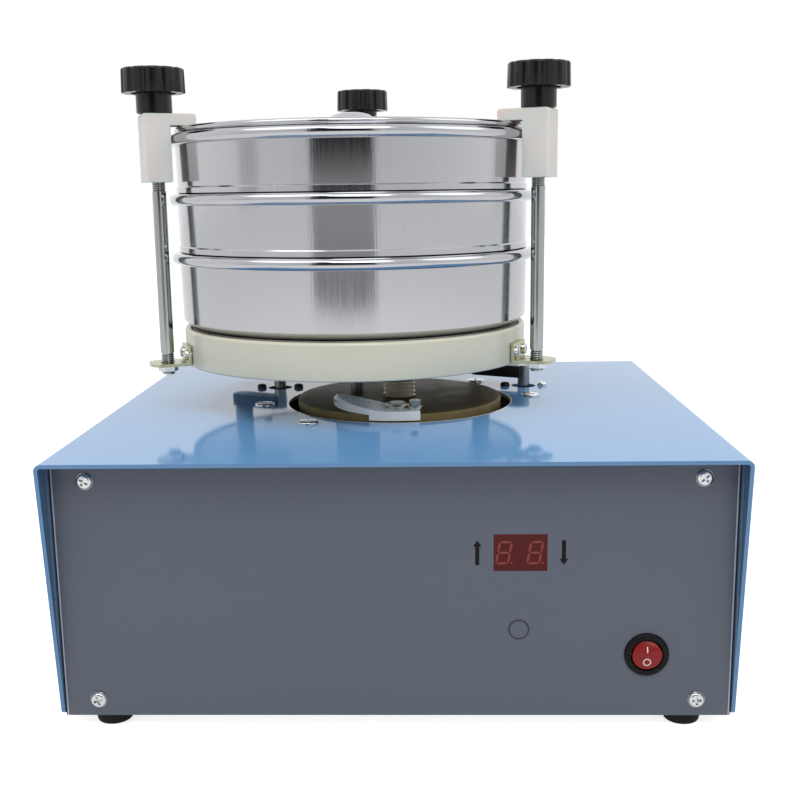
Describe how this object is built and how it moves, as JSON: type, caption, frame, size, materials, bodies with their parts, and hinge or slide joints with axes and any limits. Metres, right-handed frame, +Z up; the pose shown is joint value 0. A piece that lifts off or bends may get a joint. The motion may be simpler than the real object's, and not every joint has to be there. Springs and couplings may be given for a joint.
{
  "type": "grain sifter",
  "caption": "Bench grain sifter: a flat motor box whose top carries a tray with stacked round sieves, held by rods and lobed knobs, that circles without turning.",
  "frame": {"origin": "on the floor under the middle of the box", "axes": "+Z up, +X to the right of the control panel, which faces -Y"},
  "size_m": [0.3548, 0.3143, 0.3449],
  "materials": {
    "blue_paint": "gloss",
    "slate_paint": "satin",
    "zinc_plate": "satin",
    "black_rubber": "matte",
    "red_window": "gloss",
    "dark_plastic": "satin",
    "slate_key": "satin",
    "board_green": "satin",
    "red_plastic": "gloss",
    "cast_casing": "satin",
    "core_steel": "matte",
    "worn_steel": "oiled",
    "black_steel": "satin",
    "white_nylon": "satin",
    "ivory_plastic": "gloss",
    "sieve_steel": "bright",
    "bakelite": "gloss"
  },
  "bodies": {
    "housing": {"top_cover": "blue_paint", "base_plate": "zinc_plate", "feet": "black_rubber", "foot_screws": "zinc_plate", "corner_posts": "zinc_plate", "box_screws": "zinc_plate", "front_panel": "slate_paint", "rear_panel": "slate_paint", "display_window": "red_window", "display_module": "dark_plastic", "control_board": "board_green", "board_spacers": "zinc_plate", "switch_housing": "dark_plastic", "power_inlet": "dark_plastic", "fuse_holder": "dark_plastic", "motor_bridge": "zinc_plate", "bridge_spacers": "zinc_plate", "bridge_screws": "zinc_plate", "gearbox": "cast_casing", "drive_motor": "cast_casing", "transformer": "core_steel", "motor_capacitor": "dark_plastic", "spindle_bearing": "worn_steel", "left_crank_bearing": "cast_casing", "right_crank_bearing": "cast_casing", "bearing_screws": "black_steel"},
    "turntable": {"turntable_disc": "worn_steel", "drive_spindle": "worn_steel", "driving_pin": "worn_steel", "counterweight": "cast_casing", "counterweight_bolts": "zinc_plate"},
    "left_crank": {"left_crank_arm": "black_steel", "left_crank_pins": "worn_steel"},
    "right_crank": {"right_crank_arm": "black_steel", "right_crank_pins": "worn_steel"},
    "table": {"table_plate": "zinc_plate", "centre_bearing": "white_nylon", "table_bosses": "white_nylon", "table_screws": "zinc_plate", "tray_ring": "ivory_plastic", "catch_pan": "sieve_steel", "lower_sieve_frame": "sieve_steel", "lower_sieve_screen": "sieve_steel", "upper_sieve_frame": "sieve_steel", "upper_sieve_screen": "sieve_steel", "sieve_lid": "sieve_steel", "rod_brackets": "zinc_plate", "clamp_rods": "zinc_plate", "rod_nuts": "zinc_plate", "bracket_screws": "zinc_plate"},
    "left_clamp": {"left_clamp_block": "white_nylon"},
    "left_knob_body": {"left_knob": "bakelite"},
    "right_clamp": {"right_clamp_block": "white_nylon"},
    "right_knob_body": {"right_knob": "bakelite"},
    "back_clamp": {"back_clamp_block": "white_nylon"},
    "back_knob_body": {"back_knob": "bakelite"},
    "up_key_body": {"up_key": "dark_plastic"},
    "down_key_body": {"down_key": "dark_plastic"},
    "run_key_body": {"run_key": "slate_key"},
    "rocker": {"power_rocker": "red_plastic"}
  },
  "joints": [
    {"name": "drive_spin", "type": "hinge", "parent": "housing", "child": "turntable", "pos_m": [0, 0.006, 0.145], "axis": [0, 0, 1], "continuous": true},
    {"name": "left_crank_spin", "type": "hinge", "parent": "housing", "child": "left_crank", "pos_m": [-0.0818, 0.0545, 0.145], "axis": [0, 0, 1], "continuous": true},
    {"name": "right_crank_spin", "type": "hinge", "parent": "housing", "child": "right_crank", "pos_m": [0.0818, 0.0545, 0.145], "axis": [0, 0, 1], "continuous": true},
    {"name": "table_level", "type": "hinge", "parent": "turntable", "child": "table", "pos_m": [-0.02762, 0.02007, 0.17], "axis": [0, 0, 1], "continuous": true},
    {"name": "left_clamp_lift", "type": "slide", "parent": "table", "child": "left_clamp", "axis": [0, 0, 1], "range_m": [0, 0.01]},
    {"name": "left_knob_turn", "type": "hinge", "parent": "left_clamp", "child": "left_knob_body", "pos_m": [-0.13796, -0.0245, 0.33], "axis": [0, 0, 1], "range_deg": [0, 2880]},
    {"name": "right_clamp_lift", "type": "slide", "parent": "table", "child": "right_clamp", "axis": [0, 0, 1], "range_m": [0, 0.01]},
    {"name": "right_knob_turn", "type": "hinge", "parent": "right_clamp", "child": "right_knob_body", "pos_m": [0.08271, -0.0245, 0.33], "axis": [0, 0, 1], "range_deg": [0, 2880]},
    {"name": "back_clamp_lift", "type": "slide", "parent": "table", "child": "back_clamp", "axis": [0, 0, 1], "range_m": [0, 0.01]},
    {"name": "back_knob_turn", "type": "hinge", "parent": "back_clamp", "child": "back_knob_body", "pos_m": [-0.02762, 0.13907, 0.33], "axis": [0, 0, 1], "range_deg": [0, 2880]},
    {"name": "up_key_press", "type": "slide", "parent": "housing", "child": "up_key_body", "axis": [0, 1, 0], "range_m": [0, 0.0004], "stiffness_N_per_m": 800, "springref_m": -0.0004},
    {"name": "down_key_press", "type": "slide", "parent": "housing", "child": "down_key_body", "axis": [0, 1, 0], "range_m": [0, 0.0004], "stiffness_N_per_m": 800, "springref_m": -0.0004},
    {"name": "run_key_press", "type": "slide", "parent": "housing", "child": "run_key_body", "axis": [0, 1, 0], "range_m": [0, 0.0004], "stiffness_N_per_m": 800, "springref_m": -0.0004},
    {"name": "rocker_tip", "type": "hinge", "parent": "housing", "child": "rocker", "pos_m": [0.129, -0.1408, 0.0396], "axis": [1, 0, 0], "range_deg": [0, 14]}
  ],
  "couplings": [
    {"joint": "left_crank_spin", "follows": "drive_spin", "ratio": 1},
    {"joint": "right_crank_spin", "follows": "drive_spin", "ratio": 1},
    {"joint": "table_level", "follows": "drive_spin", "ratio": -1},
    {"joint": "left_knob_turn", "follows": "left_clamp_lift", "rad_per_m": 5026.5},
    {"joint": "right_knob_turn", "follows": "right_clamp_lift", "rad_per_m": 5026.5},
    {"joint": "back_knob_turn", "follows": "back_clamp_lift", "rad_per_m": 5026.5}
  ]
}
